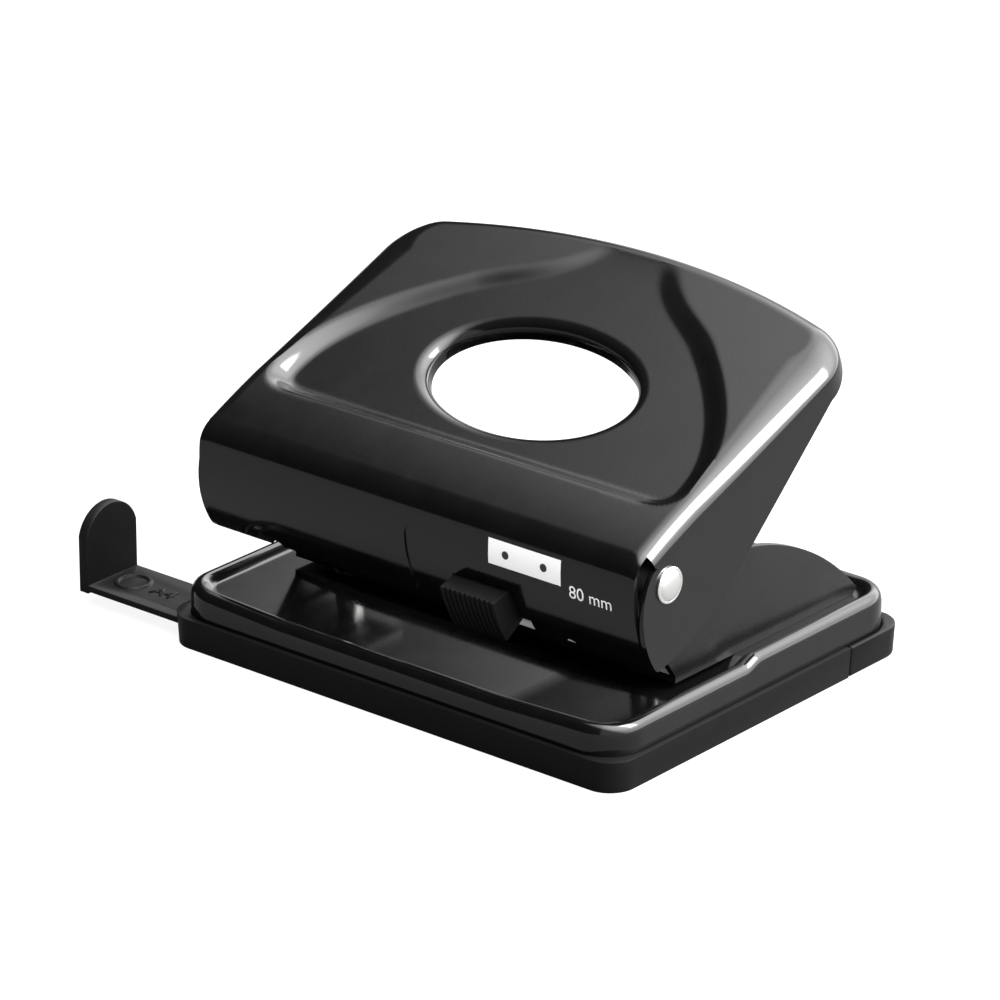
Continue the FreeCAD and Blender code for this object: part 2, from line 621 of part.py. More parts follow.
# ---- axle ---------------------------------------------------------------------------------------
def axle_pin():
    """Rod through the ears and the flanges, with its round head on the right."""
    outside = LEVER_RIGHT + AXLE_HEAD_HEIGHT
    rod = bar(AXLE_RADIUS, LEVER_LEFT - AXLE_HEAD_HEIGHT / 2, LEVER_RIGHT, PIVOT_Y, PIVOT_Z)
    head = bar(AXLE_HEAD_RADIUS, LEVER_RIGHT, outside, PIVOT_Y, PIVOT_Z)
    rim = [e for e in head.Edges if e.BoundBox.XMin > outside - 0.001]
    return join(rod, head.makeFillet(AXLE_HEAD_ROUND, rim))


def axle_cap():
    """Pressed cap on the rod's left end."""
    outside = LEVER_LEFT - AXLE_HEAD_HEIGHT
    cap = bar(AXLE_HEAD_RADIUS, outside, LEVER_LEFT, PIVOT_Y, PIVOT_Z)
    rim = [e for e in cap.Edges if e.BoundBox.XMax < outside + 0.001]
    cap = cap.makeFillet(AXLE_HEAD_ROUND, rim)
    return cap.cut(bar(AXLE_RADIUS, LEVER_LEFT - AXLE_HEAD_HEIGHT / 2, 0, PIVOT_Y, PIVOT_Z))


def axle_spacer(x0, x1):
    """Sleeve on the rod between an ear and a flange."""
    sleeve = bar(SPACER_RADIUS, x0, x1, PIVOT_Y, PIVOT_Z)
    return sleeve.cut(bar(AXLE_RADIUS, -FAR, FAR, PIVOT_Y, PIVOT_Z))


# ---- pins -----------------------------------------------------------------------------------------
def punch_pin(x):
    """Pin with a domed head, a clip groove and a vee ground across its tip."""
    low = DECK_HEIGHT + PIN_RETRACT
    stem = post(PIN_RADIUS, x, PIN_Y, low, PIN_TOP - HEAD_HEIGHT)
    head = post(HEAD_RADIUS, x, PIN_Y, PIN_TOP - HEAD_HEIGHT, PIN_TOP)
    rim = [e for e in head.Edges if e.BoundBox.ZMin > PIN_TOP - 0.001]
    pin = join(stem, head.makeFillet(HEAD_HEIGHT / 2, rim))
    top = GUIDE_LOW - PAD_GAP
    groove = post(PIN_RADIUS + 1, x, PIN_Y, top - CLIP_THICK, top)
    groove = groove.cut(post(PIN_RADIUS - GROOVE_DEPTH, x, PIN_Y, 0, FAR))
    vee = side_block(((PIN_Y - PIN_RADIUS / 2, low), (PIN_Y, low + TIP_DEPTH),
                      (PIN_Y + PIN_RADIUS / 2, low)), x - PIN_RADIUS, x + PIN_RADIUS)
    return pin.cut(groove).cut(vee)


def pin_clip(x):
    """Open retaining ring in the pin's groove, under the pin guide."""
    top = GUIDE_LOW - PAD_GAP
    core = PIN_RADIUS - GROOVE_DEPTH
    ring = post(CLIP_RADIUS, x, PIN_Y, top - CLIP_THICK, top)
    ring = ring.cut(post(core, x, PIN_Y, 0, FAR))
    return ring.cut(box(x - core, x + core, PIN_Y - FAR, PIN_Y, 0, FAR))


def spring_washer(x):
    """Flat washer between the pin's head and its spring."""
    top = PIN_TOP - HEAD_HEIGHT
    ring = post(WASHER_RADIUS, x, PIN_Y, top - WASHER_THICK, top)
    return ring.cut(post(PIN_RADIUS, x, PIN_Y, 0, FAR))


def pin_spring(x):
    """Envelope of the return spring, from the pin guide up to the washer."""
    top = PIN_TOP - HEAD_HEIGHT - WASHER_THICK
    sleeve = post(SPRING_RADIUS, x, PIN_Y, GUIDE_HIGH, top)
    return sleeve.cut(post(SPRING_RADIUS - SPRING_WIRE, x, PIN_Y, 0, FAR))


# ---- lock slide -------------------------------------------------------------------------------------
def lock_slider():
    """Ribbed thumb slide that sticks out through the front band."""
    inner = LIP_RADIUS - SHEET - SLIDE_CLEAR
    outer = LIP_RADIUS + SLIDE_PROUD
    body = lip_sector(inner, outer, SLIDE_TOP_ANGLE, SLIDE_LOW_ANGLE, SLIDE_X,
                      SLIDE_X + SLIDE_WIDTH)
    pitch = SLIDE_WIDTH / RIB_COUNT
    for i in range(RIB_COUNT - 1):
        x = SLIDE_X + (i + 1) * pitch
        half = pitch * RIB_GROOVE / 2
        body = body.cut(lip_sector(outer - RIB_DEPTH, outer + PAST, SLIDE_TOP_ANGLE - PAST,
                                   SLIDE_LOW_ANGLE + PAST, x - half, x + half))
    return tip_up(body)


def slider_backplate():
    """Plate behind the front band that keeps the lock slide in its window."""
    outer = LIP_RADIUS - SHEET - SLIDE_CLEAR
    lift = math.degrees(BACKPLATE_MARGIN / LIP_RADIUS)
    plate = lip_sector(outer - BACKPLATE_THICK, outer, SLIDE_TOP_ANGLE - lift, SLIDE_LOW_ANGLE,
                       SLIDE_X - BACKPLATE_MARGIN, SLIDE_X + SLIDE_WIDTH + BACKPLATE_MARGIN)
    return tip_up(plate)


# ---- paper guide ----------------------------------------------------------------------------------------
def paper_guide():
    """Flat bar with an upright stop at its left end."""
    low = BLADE_TOP - BLADE_THICK
    blade = box(-BLADE_OUT, BLADE_INNER_END, BLADE_Y[0], BLADE_Y[1], low, BLADE_TOP)
    middle = (BLADE_Y[0] + BLADE_Y[1]) / 2
    outline = ((BLADE_Y[0], STOP_BOTTOM), (BLADE_Y[0], STOP_SHOULDER),
               ((middle, STOP_CROWN), (BLADE_Y[1], STOP_SHOULDER)), (BLADE_Y[1], STOP_BOTTOM))
    stop = side_block(outline, -BLADE_OUT - STOP_THICK, -BLADE_OUT)
    ring = post(RING_RADIUS, RING_X, middle, BLADE_TOP, BLADE_TOP + RING_HEIGHT)
    ring = ring.cut(post(RING_RADIUS - RING_WIDTH, RING_X, middle, 0, FAR))
    return join(blade, stop, ring)


def all_parts():
    """Every node's shape by name."""
    parts = {
        "chip_tray": chip_tray(),
        "tray_hinge_band": tray_hinge_band(),
        "base_plate": base_plate(),
        "die_plate": die_plate(),
        "punch_frame": punch_frame(),
        "frame_rivets": frame_rivets(),
        "lever_handle": lever_handle(),
        "axle_pin": axle_pin(),
        "axle_cap": axle_cap(),
        "axle_spacer_left": axle_spacer(LEVER_LEFT + SHEET, EAR_OUT["left"] - SPACER_PLAY),
        "axle_spacer_right": axle_spacer(EAR_OUT["right"] + SPACER_PLAY, LEVER_RIGHT - SHEET),
        "lock_slider": lock_slider(),
        "slider_backplate": slider_backplate(),
        "paper_guide": paper_guide(),
    }
    for side, x in PIN_X.items():
        parts["pin_guide_" + side] = pin_guide(side)
        parts["press_pad_" + side] = press_pad(x)
        parts["punch_pin_" + side] = punch_pin(x)
        parts["pin_clip_" + side] = pin_clip(x)
        parts["spring_washer_" + side] = spring_washer(x)
        parts["pin_spring_" + side] = pin_spring(x)
    return parts


os.makedirs("parts", exist_ok=True)
for node, shape in all_parts().items():
    shape.exportStep("parts/" + node + ".step")
print("pin stroke", round(PIN_STROKE, 3), "pivot", PIVOT_Y, PIVOT_Z, "pin top", round(PIN_TOP, 3))
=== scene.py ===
import json
import math

import bmesh
import bpy
from mathutils import Matrix, Quaternion, Vector
from mathutils.geometry import interpolate_bezier
from mathutils.kdtree import KDTree


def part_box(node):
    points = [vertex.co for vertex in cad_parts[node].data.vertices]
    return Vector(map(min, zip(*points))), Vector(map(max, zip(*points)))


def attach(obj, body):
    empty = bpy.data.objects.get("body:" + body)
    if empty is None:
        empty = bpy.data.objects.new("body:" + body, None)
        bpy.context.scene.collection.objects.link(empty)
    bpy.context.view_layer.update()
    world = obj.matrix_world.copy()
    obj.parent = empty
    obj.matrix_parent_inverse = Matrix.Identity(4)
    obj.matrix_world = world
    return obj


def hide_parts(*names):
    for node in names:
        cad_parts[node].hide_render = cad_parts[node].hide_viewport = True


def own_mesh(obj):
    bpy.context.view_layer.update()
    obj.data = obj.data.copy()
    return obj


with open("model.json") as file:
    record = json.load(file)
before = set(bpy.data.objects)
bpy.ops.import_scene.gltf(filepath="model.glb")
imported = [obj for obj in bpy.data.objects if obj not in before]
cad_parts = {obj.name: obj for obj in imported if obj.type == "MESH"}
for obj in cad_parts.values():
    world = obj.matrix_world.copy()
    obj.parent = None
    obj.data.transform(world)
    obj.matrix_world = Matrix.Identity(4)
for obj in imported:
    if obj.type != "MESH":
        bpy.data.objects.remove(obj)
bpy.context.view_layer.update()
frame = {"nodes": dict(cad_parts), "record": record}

# Two-hole punch: looks of the pressed steel, the mouldings and the fittings.  Shapes are laid out
# in millimetres and scaled to metres at the end.  +X is right, +Y is back, +Z is up.
MM = 0.001
WELD = 1e-4                # millimetres
SHEET = 1.2                # thickness of the lever and the base plate
EDGE = 0.3                 # rounding on the cut edges of the sheet
ALL_TURN = 2 * math.pi

joints = {j["name"]: j for j in frame["record"]["behaviour"]["joints"]}
PIVOT = Vector(joints["lever_hinge"]["pos_m"]) / MM

# ---- lever, laid out level about its axle: x across, y back along it, z up --------------------
LEVER_ANGLE = 22.24        # degrees, at rest
LEVER_SHIFT = 1.4          # its middle, right of the base's middle
LEVER_HALF = 60.2
RISE = 9.4                 # top face above the axle
CREASE = 3.6               # bend down into the flanges and the back edge
WIDE_CREASE = 9.0          # the same bend spreads this wide into the panel at the back corners
WIDENS_FROM = 14.0
REACH = 78.7
BACK_RADIUS = 175.0
BACK_CORNER = 13.5
BACK_EDGE = 4.4
CORNER_LOW = 1.7           # lower edge of the back corner, above the axle
LIFT = 0.6                 # the top panel climbs this much behind the brow
LIFT_END = 12.0
FLAT_HALF = LEVER_HALF - CREASE
BROW_AHEAD = 1.5
BROW_RADIUS = 6.6
LIP_RADIUS = 30.0
LIP_REACH = 10.95
LIP_DROP = 15.0
SLIT = 0.3
PIN_X = (-40.0, 40.0)
NOTCH = 1.6
WINDOW_X = (11.7, 30.6)
WINDOW_TOP = 172.9         # degrees on the lip's curve
MARK_HALF = 0.3
MARK_EDGE = 0.5
MARK_DEPTH = 0.35
MARK_TOP = 159.0
MARK_LOW = 189.0
RECESS_DEPTH = 3.0
RECESS_WALL = 4.8          # width of the sloping wall round the recess
RECESS_FADE = (12.0, 75.0)  # the floor comes up to the panel's face between these
OVAL = (25.8, 15.3)        # half sizes of the finger hole
OVAL_Y = 34.7
ROLL = 2.6                 # bend at the hole's edge
COLLAR = 1.6               # straight collar below that bend

# ---- base -------------------------------------------------------------------------------------
TABLE = 10.6               # top of the paper table
STEP = 2.5                 # rise to the rear deck
STEP_Y = (-4.4, 0.6)
WING_X = 30.0              # bend lines of the table's two wings
WING_RISE = 1.1
RIM = 4.9                  # skirt's outside to the table's edge
PLATE_CORNER = 9.5
SKIRT_LOW = 5.2


# ---- general shaping helpers ------------------------------------------------------------------
def ease(share):
    """Smooth step from 0 to 1."""
    share = min(max(share, 0.0), 1.0)
    return share * share * (3 - 2 * share)


def lerp(a, b, share):
    """Value or point between a and b."""
    return a + (b - a) * share


def spread(stops, step):
    """Sorted places that keep every stop, with even steps of about this size between them."""
    stops = sorted(stops)
    places = []
    for low, high in zip(stops, stops[1:]):
        count = max(1, round((high - low) / step))
        places += [lerp(low, high, i / count) for i in range(count)]
    return places + [stops[-1]]


def curve(points, count):
    """Points along one cubic curve given by two ends and two handles."""
    corners = [Vector(p).to_3d() for p in points]
    return [Vector((p.x, p.y)) for p in interpolate_bezier(*corners, count)]


def skin(columns, rows, place):
    """Sheet of columns by rows cells whose corners sit where place(column, row) says."""
    bm = bmesh.new()
    bmesh.ops.create_grid(bm, x_segments=columns, y_segments=rows, size=0.5)
    for v in bm.verts:
        v.co = place(round((v.co.x + 0.5) * columns), round((v.co.y + 0.5) * rows))
    return bm


def weld(*parts):
    """Joins sheets along their shared edges and turns their faces up."""
    whole = bmesh.new()
    for part in parts:
        mesh = bpy.data.meshes.new("part")
        part.to_mesh(mesh)
        part.free()
        whole.from_mesh(mesh)
        bpy.data.meshes.remove(mesh)
    bmesh.ops.remove_doubles(whole, verts=whole.verts, dist=WELD)
    bmesh.ops.recalc_face_normals(whole, faces=whole.faces)
    top = max(whole.faces, key=lambda f: f.calc_center_median().z)
    if top.normal.z < 0:
        bmesh.ops.reverse_faces(whole, faces=whole.faces)
    return whole


def turned(profile, axis, centre, steps):
    """Closed solid spun from (radius, height) points about an axis, both ends on that axis."""
    bm = bmesh.new()
    side = axis.orthogonal().normalized()
    verts = [bm.verts.new(centre + side * r + axis * h) for r, h in profile]
    edges = [bm.edges.new(pair) for pair in zip(verts, verts[1:])]
    bmesh.ops.spin(bm, geom=verts + edges, cent=centre, axis=axis, dvec=(0, 0, 0),
                   angle=ALL_TURN, steps=steps, use_merge=True, use_duplicate=False)
    bmesh.ops.remove_doubles(bm, verts=bm.verts, dist=WELD)
    bmesh.ops.recalc_face_normals(bm, faces=bm.faces)
    return bm


def finish_piece(name, bm, body, finish, slot, nodes=(), scale=MM, thick=None, edge=None):
    """Makes a mesh into a named piece that rides on a body and stands for some nodes."""
    bmesh.ops.transform(bm, matrix=Matrix.Scale(scale, 4), verts=bm.verts)
    mesh = bpy.data.meshes.new(name)
    bm.to_mesh(mesh)
    bm.free()
    mesh.shade_smooth()
    mesh.materials.append(finish)
    piece = bpy.data.objects.new(name, mesh)
    bpy.context.collection.objects.link(piece)
    if thick:
        wall = piece.modifiers.new("thickness", "SOLIDIFY")
        wall.thickness = thick * MM
        wall.offset = -1
        wall.use_even_offset = True
    if edge:
        rounding = piece.modifiers.new("rounding", "BEVEL")
        rounding.width = edge * MM
        rounding.segments = 3
        rounding.limit_method = "ANGLE"
        rounding.angle_limit = math.radians(38)
        rounding.harden_normals = True
        rounding.use_clamp_overlap = True
    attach(piece, body)
    if nodes:
        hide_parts(*nodes)
    return piece


def softened(node, name, body, finish, slot, edge):
    """Copy of a CAD node with its sharp edges rounded, which stands for it."""
    bm = bmesh.new()
    bm.from_mesh(frame["nodes"][node].data)
    bmesh.ops.remove_doubles(bm, verts=bm.verts, dist=1e-6)
    bmesh.ops.dissolve_limit(bm, angle_limit=math.radians(0.5), verts=bm.verts, edges=bm.edges)
    return finish_piece(name, bm, body, finish, slot, [node], scale=1.0, edge=edge)


# ---- shader expressions -----------------------------------------------------------------------
class Link:
    """A shader value that takes part in sums."""

    def __init__(self, nodes, socket):
        self.nodes = nodes
        self.socket = socket

    def __add__(self, other):
        return self.nodes.math("ADD", self, other)

    def __sub__(self, other):
        return self.nodes.math("SUBTRACT", self, other)

    def __rsub__(self, other):
        return self.nodes.math("SUBTRACT", other, self)

    def __mul__(self, other):
        return self.nodes.math("MULTIPLY", self, other)

    def __gt__(self, other):
        return self.nodes.math("GREATER_THAN", self, other)

    __radd__ = __add__
    __rmul__ = __mul__


class Nodes:
    """Nodes of one material or room, made from Python expressions."""

    def __init__(self, owner, shader):
        owner.use_nodes = True
        self.tree = owner.node_tree
        self.shader = self.tree.nodes[shader]

    def node(self, kind, settings=(), inputs=(), output=0):
        """New node: its settings first, then its sockets' values or links."""
        made = self.tree.nodes.new("ShaderNode" + kind)
        for key, value in dict(settings).items():
            setattr(made, key, value)
        for key, value in dict(inputs).items():
            if isinstance(value, Link):
                self.tree.links.new(value.socket, made.inputs[key])
            else:
                made.inputs[key].default_value = value
        return Link(self, made.outputs[output])

    def math(self, operation, a, b):
        return self.node("Math", {"operation": operation}, {0: a, 1: b})

    def put(self, **inputs):
        """Sets the shader's sockets."""
        for key, value in inputs.items():
            socket = self.shader.inputs[key.replace("_", " ")]
            if isinstance(value, Link):
                self.tree.links.new(value.socket, socket)
            else:
                socket.default_value = value


class Finish(Nodes):
    """One material with the patterns that its surfaces need."""

    def __init__(self, name):
        self.material = bpy.data.materials.new(name)
        super().__init__(self.material, "Principled BSDF")
        self.place = self.node("TexCoord", output="Object")

    def noise(self, scale, detail=2.0, stretch=(1, 1, 1)):
        """Noise from 0 to 1 with this many grains to the metre."""
        where = self.node("Mapping", {}, {"Vector": self.place, "Scale": stretch})
        return self.node("TexNoise", {}, {"Vector": where, "Scale": scale, "Detail": detail})

    def specks(self, scale, share):
        """Sparse round specks: 1 inside each."""
        cells = self.node("TexVoronoi", {}, {"Vector": self.place, "Scale": scale}, "Distance")
        return self.node("MapRange", {"clamp": True},
                         {"Value": cells, "From Min": share, "From Max": share * 0.6})

    def blend(self, share, a, b):
        """Colour between a and b."""
        return self.node("Mix", {"data_type": "RGBA"}, {0: share, 6: a, 7: b}, 2)

    def bump(self, height, depth, under=None):
        """Surface relief of this depth in metres, over another relief."""
        inputs = {"Height": height, "Distance": depth, "Strength": 1.0}
        if under:
            inputs["Normal"] = under
        return self.node("Bump", {}, inputs)


def grey(value, alpha=1.0):
    """Neutral colour."""
    return (value, value, value, alpha)


def lacquer(name, tone, roughness):
    """Black stoving enamel on pressed steel: faint peel, slow waves, a little dust."""
    f = Finish(name)
    peel = f.noise(950.0, 1.0)
    waves = f.noise(45.0, 1.0)
    cloud = f.noise(160.0, 4.0)
    dust = f.specks(1700.0, 0.10) * (f.noise(300.0, 2.0) > 0.6)
    f.put(Base_Color=f.blend(dust * 0.35 + cloud * 0.04, (tone, tone, tone * 1.08, 1), grey(0.03)),
          Roughness=roughness + cloud * 0.05 + dust * 0.3,
          IOR=1.4,
          Normal=f.bump(peel, 3.0e-6, f.bump(waves, 1.2e-5)))
    return f.material


def moulded(name, tone, roughness, grain_depth):
    """Black moulded plastic with a fine spark-eroded grain and rubbed patches."""
    f = Finish(name)
    grain = f.noise(2400.0, 3.0)
    flow = f.noise(70.0, 2.0, (1, 1, 4))
    rubbed = f.noise(180.0, 5.0)
    f.put(Base_Color=f.blend(rubbed * 0.5, grey(tone), grey(tone * 1.7)),
          Roughness=roughness + rubbed * 0.12 - flow * 0.06,
          IOR=1.15,
          Normal=f.bump(grain, grain_depth, f.bump(flow, 1.0e-5)))
    return f.material


def steel(name, tone, roughness, stretch, tint=(1.0, 0.99, 0.96)):
    """Plated or ground steel with fine drawn lines and stains."""
    f = Finish(name)
    lines = f.noise(900.0, 3.0, stretch)
    stain = f.noise(220.0, 4.0)
    colour = tuple(tone * t for t in tint) + (1.0,)
    f.put(Base_Color=f.blend(stain * 0.5, colour, grey(tone * 0.75)),
          Metallic=1.0,
          Roughness=roughness + lines * 0.12 + stain * 0.06,
          Normal=f.bump(lines, 4.0e-6))
    return f.material


def ink(name, tone):
    """Printed ink, slightly uneven."""
    f = Finish(name)
    screen = f.noise(3000.0, 2.0)
    f.put(Base_Color=f.blend(screen * 0.3, grey(tone), grey(tone * 0.8)),
          Roughness=0.4 + screen * 0.1)
    return f.material


BLACK = lacquer("lever_lacquer", 0.0012, 0.10)
BLACK_BASE = lacquer("plate_lacquer", 0.0012, 0.09)
BLACK_FRAME = lacquer("frame_lacquer", 0.002, 0.25)
TRAY_PLASTIC = moulded("tray_plastic", 0.0028, 0.32, 8.0e-6)
GUIDE_PLASTIC = moulded("guide_plastic", 0.0035, 0.34, 6.0e-6)
SLIDE_PLASTIC = moulded("slide_plastic", 0.004, 0.38, 5.0e-6)
NYLON = moulded("spacer_nylon", 0.030, 0.45, 4.0e-6)
BRIGHT = steel("bright_plating", 0.85, 0.12, (1, 6, 6))
PLAIN = steel("zinc_plating", 0.55, 0.28, (1, 8, 8), (1.0, 1.0, 1.02))
GROUND = steel("ground_tool_steel", 0.6, 0.16, (1, 1, 10))
SPRING = steel("spring_wire", 0.55, 0.2, (1, 1, 6))
WHITE_INK = ink("white_ink", 0.85)
DARK_INK = ink("dark_ink", 0.01)


# ---- lever ------------------------------------------------------------------------------------
LEVEL_TO_REST = (Matrix.Translation(PIVOT + Vector((LEVER_SHIFT, 0, 0)))
                 @ Matrix.Rotation(math.radians(LEVER_ANGLE), 4, "X"))
BROW_CENTRE = Vector((-BROW_AHEAD, RISE - BROW_RADIUS))
LIP_CENTRE = Vector((LIP_RADIUS - LIP_REACH, BROW_CENTRE.y - math.sqrt(
    (LIP_RADIUS - BROW_RADIUS) ** 2 - (LIP_RADIUS - LIP_REACH + BROW_AHEAD) ** 2)))
LIP_START = math.degrees(math.atan2(BROW_CENTRE.y - LIP_CENTRE.y, BROW_CENTRE.x - LIP_CENTRE.x))
BROW_START = 90 + math.degrees(math.atan(2 * LIFT / (LIFT_END + BROW_AHEAD)))
FRONT_START = BROW_CENTRE + BROW_RADIUS * Vector((math.cos(math.radians(BROW_START)),
                                                  math.sin(math.radians(BROW_START))))
LIP_END = 180 + math.degrees(math.asin((LIP_DROP + LIP_CENTRE.y) / LIP_RADIUS))
BAND_HALF = LEVER_HALF - SHEET - SLIT
BAND_TURN = math.asin((BAND_HALF - FLAT_HALF) / CREASE)
CREASE_TURNS = [BAND_TURN * i / 3 for i in range(4)]
CREASE_TURNS += [lerp(BAND_TURN, math.pi / 2, i / 9) for i in range(1, 10)]
PANEL_RINGS = 46
RECESS_STEPS = 500         # per piece of the recess's outline
RECESS_EASE = 0.8          # below 1 the floor stays deep for longer towards the back
FLANGE_STEPS = (12, 6, 10, 32)   # front edge, tip, underside and the long rise to the back
SIDE_STATIONS = sum(FLANGE_STEPS)
CORNER_STATIONS = 16
BACK_STATIONS = 40
ROLL_ROWS = 7


def edge_stations():
    """Round the sides and the back: (centre, way out, radius, bend's width), left to right."""
    centre = REACH - BACK_RADIUS
    offset = LEVER_HALF - BACK_CORNER
    corner_y = centre + math.sqrt((BACK_RADIUS - BACK_CORNER) ** 2 - offset ** 2)
    tilt = math.atan2(offset, corner_y - centre)
    right = []
    for i in range(SIDE_STATIONS + 1):
        y = lerp(FRONT_START.x, corner_y, i / SIDE_STATIONS)
        wide = max(y - WIDENS_FROM, 0) / (corner_y - WIDENS_FROM)
        right.append((Vector((0, y)), Vector((1, 0)), LEVER_HALF, lerp(CREASE, WIDE_CREASE, wide)))
    for i in range(1, CORNER_STATIONS + 1):
        share = i / CORNER_STATIONS
        turn = lerp(math.pi / 2, tilt, share)
        way = Vector((math.sin(turn), math.cos(turn)))
        right.append((Vector((offset, corner_y)), way, BACK_CORNER,
                      lerp(WIDE_CREASE, CREASE, ease(share))))
    for i in range(1, BACK_STATIONS + 1):
        turn = lerp(tilt, 0, i / BACK_STATIONS)
        way = Vector((math.sin(turn), math.cos(turn)))
        right.append((Vector((0, centre)), way, BACK_RADIUS, CREASE))
    left = [(Vector((-c.x, c.y)), Vector((-d.x, d.y)), r, w) for c, d, r, w in right]
    return left + right[-2::-1]


STATIONS = edge_stations()


def edge_point(station, share):
    """Point on the panel's outline, drawn in by a share of the bend's width."""
    centre, way, radius, wide = station
    return centre + way * (radius - wide * share)


def front_places():
    """Places across the front edge, with stops at the notches, the window and the mark."""
    stops = [-FLAT_HALF, FLAT_HALF, WINDOW_X[0] - LEVER_SHIFT, WINDOW_X[1] - LEVER_SHIFT]
    stops += [s - LEVER_SHIFT for s in (-MARK_EDGE, -MARK_HALF, MARK_HALF, MARK_EDGE)]
    for x in PIN_X:
        stops += [x - LEVER_SHIFT + NOTCH * math.sin(math.radians(a)) for a in range(-90, 91, 15)]
    return spread(stops, 1.3)


FRONT = front_places()


def recess_outline():
    """Right half of the recess's outline with inward directions, closely spaced."""
    pieces = (((0, 12), (16, 12), (32, 12), (47, 12)),
              ((47, 12), (51.5, 12), (54, 14), (54, 18)),
              ((54, 18), (54, 29), (47, 41), (31, 55)),
              ((31, 55), (24, 61.2), (13, 64), (8, 76)))
    points = []
    for piece in pieces:
        points += curve(piece, RECESS_STEPS)[:-1]
    rim = []
    for here, after in zip(points, points[1:]):
        along = (after - here).normalized()
        rim.append((here, Vector((-along.y, along.x))))
    return rim


RECESS = recess_outline()
RECESS_TREE = KDTree(len(RECESS))
for index, (point, inward) in enumerate(RECESS):
    RECESS_TREE.insert(point.to_3d(), index)
RECESS_TREE.balance()


def top_height(y):
    """Top panel's face above the axle, away from its recess."""
    left = 1 - min((y - FRONT_START.x) / (LIFT_END - FRONT_START.x), 1.0)
    return lerp(FRONT_START.y + LIFT, FRONT_START.y, left ** 2)


def panel_height(x, y):
    """Top panel's face above the axle, with its pressed recess."""
    place = Vector((abs(x), y))
    point, inward = RECESS[RECESS_TREE.find(place.to_3d())[1]]
    inside = (place - point).dot(inward)
    low, high = RECESS_FADE
    depth = RECESS_DEPTH * (1 - min(max((y - low) / (high - low), 0), 1)) ** RECESS_EASE
    return top_height(y) - depth * ease(inside / RECESS_WALL + 0.5)


def oval_point(angle, grow):
    """Point on the finger hole's outline, grown outwards."""
    return Vector(((OVAL[0] + grow) * math.cos(angle), OVAL_Y + (OVAL[1] + grow) * math.sin(angle)))


def panel_loop():
    """Closed loop round the flat panel and the matching angles on the finger hole."""
    loop = [Vector((x, FRONT_START.x)) for x in FRONT]
    loop += [edge_point(s, 1) for s in STATIONS[::-1]][1:]
    angles = [math.atan2((p.y - OVAL_Y) / OVAL[1], p.x / OVAL[0]) for p in loop]
    return loop, angles


def top_panel():
    """Top panel from its creases to the rolled edge of the finger hole."""
    loop, angles = panel_loop()

    def place(column, row):
        start = loop[column]
        end = oval_point(angles[column], ROLL)
        spot = lerp(start, end, row / PANEL_RINGS)
        return Vector((spot.x, spot.y, panel_height(spot.x, spot.y)))

    return skin(len(loop) - 1, PANEL_RINGS, place)


def rolled_collar():
    """Edge of the finger hole, bent down into a collar."""
    loop, angles = panel_loop()

    def place(column, row):
        turn = min(row / ROLL_ROWS, 1.0) * math.pi / 2
        straight = COLLAR if row > ROLL_ROWS else 0.0
        spot = oval_point(angles[column], ROLL * (1 - math.sin(turn)))
        height = panel_height(spot.x, spot.y) - ROLL * (1 - math.cos(turn)) - straight
        return Vector((spot.x, spot.y, height))

    return skin(len(loop) - 1, ROLL_ROWS + 1, place)


def flange_outline():
    """Lower edge of a flange from its front top corner round to the back edge."""
    end = STATIONS[SIDE_STATIONS][0].y
    pieces = (((-BROW_AHEAD, RISE - CREASE), (-6.6, 5.2), (-10.9, -2.0), (-10.8, -9.8)),
              ((-10.8, -9.8), (-10.7, -12.6), (-10.4, -15.5), (-9.4, -15.7)),
              ((-9.4, -15.7), (-4.0, -16.6), (5.5, -16.9), (12.4, -15.0)),
              ((12.4, -15.0), (16.4, -13.8), (40.0, -5.1), (end, CORNER_LOW)))
    outline = [Vector(pieces[0][0])]
    for steps, piece in zip(FLANGE_STEPS, pieces):
        outline += curve(piece, steps + 1)[1:]
    return outline


def creased_flanges():
    """Creases, flanges and turned-down back edge, as one strip round the panel."""
    outline = flange_outline()
    last = len(STATIONS) - 1
    turns = len(CREASE_TURNS)
    wall_rows = 5

    def bottom(column):
        side = min(column, last - column)
        spot = edge_point(STATIONS[column], 0)
        if side < len(outline):
            return Vector((spot.x, outline[side].x, outline[side].y))
        share = ease((side - SIDE_STATIONS) / CORNER_STATIONS)
        return Vector((spot.x, spot.y, lerp(CORNER_LOW, RISE - BACK_EDGE, share)))

    def place(column, row):
        turn = CREASE_TURNS[min(row, turns - 1)]
        spot = edge_point(STATIONS[column], 1 - math.sin(turn))
        top = top_height(edge_point(STATIONS[column], 1).y)
        above = Vector((spot.x, spot.y, lerp(RISE - CREASE, top, math.cos(turn))))
        return lerp(above, bottom(column), max(row - turns + 1, 0) / wall_rows)

    return skin(last, turns - 1 + wall_rows, place)


def on_lip(degrees, inset=0.0):
    """Point on the front band's curve, as (y, z)."""
    turn = math.radians(degrees)
    return LIP_CENTRE + Vector((math.cos(turn), math.sin(turn))) * (LIP_RADIUS - inset)


def notch_rise(x):
    """How far the band's lower edge is cut up at a place across it."""
    gap = min(abs(x + LEVER_SHIFT - p) for p in PIN_X)
    return math.sqrt(max(NOTCH ** 2 - gap ** 2, 0.0))


